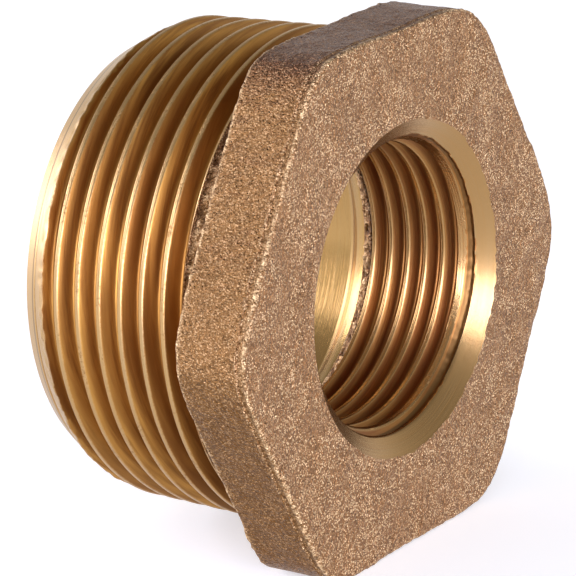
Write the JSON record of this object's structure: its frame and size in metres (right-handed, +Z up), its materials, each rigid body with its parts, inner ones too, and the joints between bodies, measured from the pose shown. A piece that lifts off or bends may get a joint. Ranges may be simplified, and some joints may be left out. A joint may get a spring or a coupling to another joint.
{
  "type": "reducing adapter",
  "caption": "Cast bronze hexagon reducing bush with a tapered male pipe thread outside and a smaller female pipe thread in its bore.",
  "frame": {"origin": "on the surface it lies on, under the middle of its length: the middle of the box's bottom face", "axes": "+X along the thread axis, out of the female mouth; -X out of the male end; +Z up, square to the hexagon flat it lies on"},
  "size_m": [0.0252, 0.0492, 0.0445],
  "materials": {
    "bronze": "sand-cast head, machined threads, mouth and hollow"
  },
  "bodies": {
    "root": {"reducing_bush": "bronze"}
  },
  "joints": []
}
